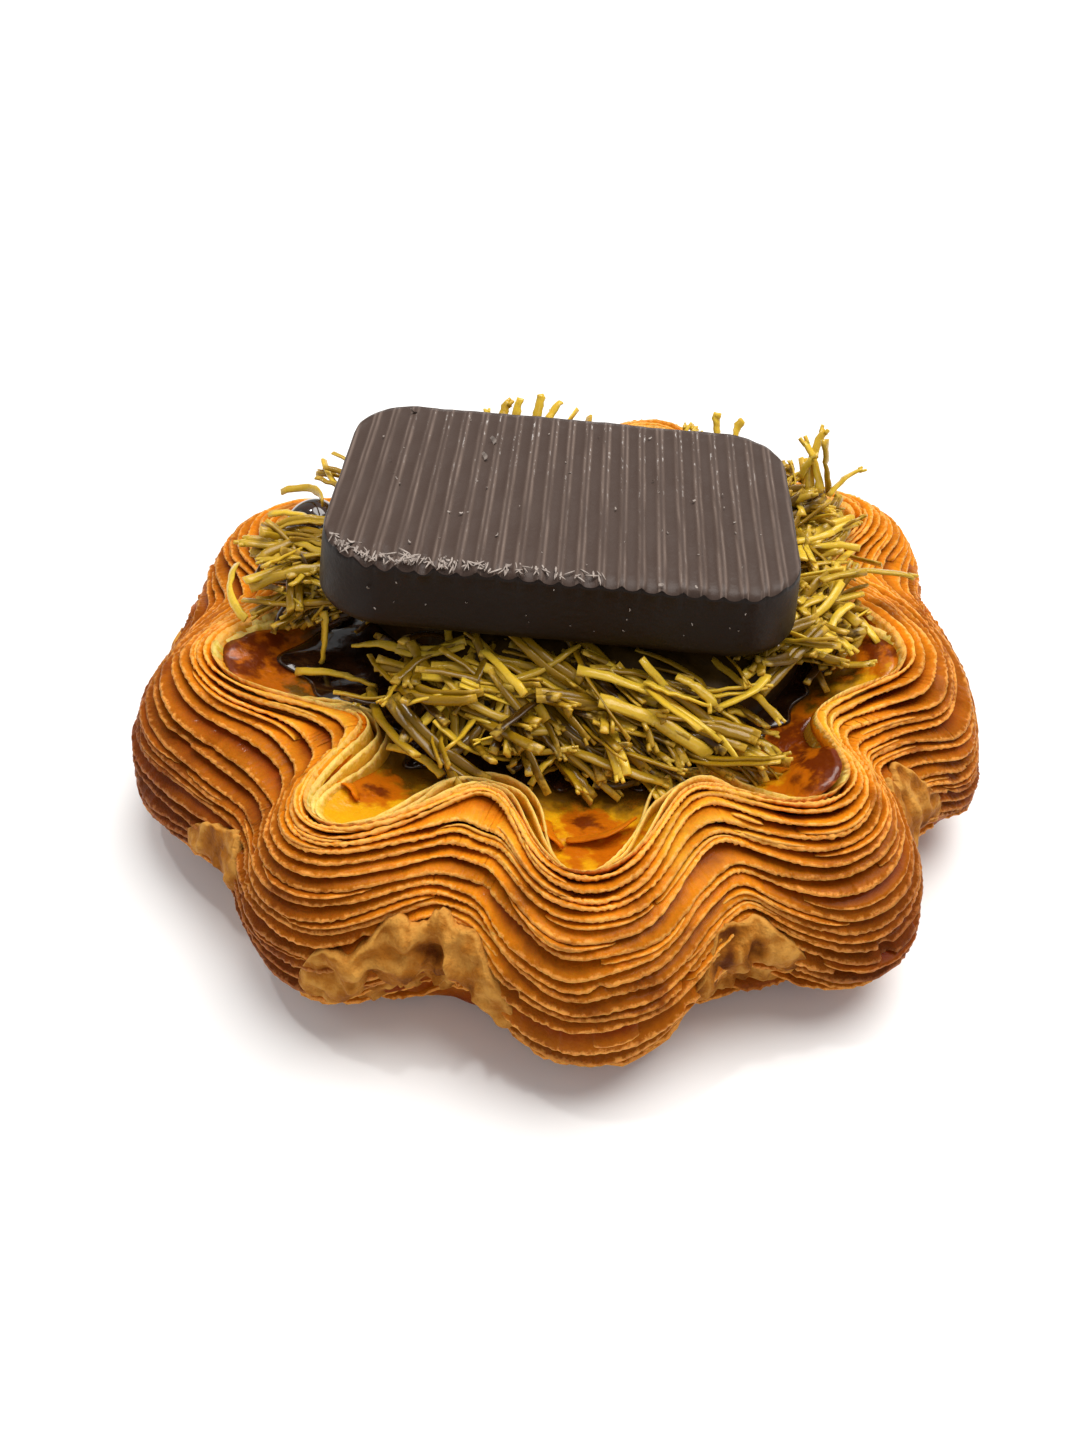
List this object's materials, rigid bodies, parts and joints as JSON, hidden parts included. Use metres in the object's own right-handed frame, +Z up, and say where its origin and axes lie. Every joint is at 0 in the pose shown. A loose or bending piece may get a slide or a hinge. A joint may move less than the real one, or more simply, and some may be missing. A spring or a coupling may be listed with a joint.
{
  "type": "egg tart",
  "caption": "Flower-shaped flaky pastry tart with custard, dark chocolate sauce, a heap of shredded pastry and a ridged chocolate bar lying on top.",
  "frame": {"origin": "on the floor, under the centre of the pastry shell's flat base", "axes": "+Z up, +X to the right along the bar's length, -Y towards the viewer"},
  "size_m": [0.0949, 0.0934, 0.0367],
  "materials": {
    "pastry": "flaky, buttery",
    "custard": "glazed",
    "sauce": "glossy, wet",
    "shreds": "syrupy",
    "chocolate": "ridged, satin"
  },
  "bodies": {
    "root": {"pastry_shell": "pastry", "custard": "custard", "chocolate_sauce": "sauce", "kataifi": "shreds", "chocolate_bar": "chocolate"}
  },
  "joints": []
}
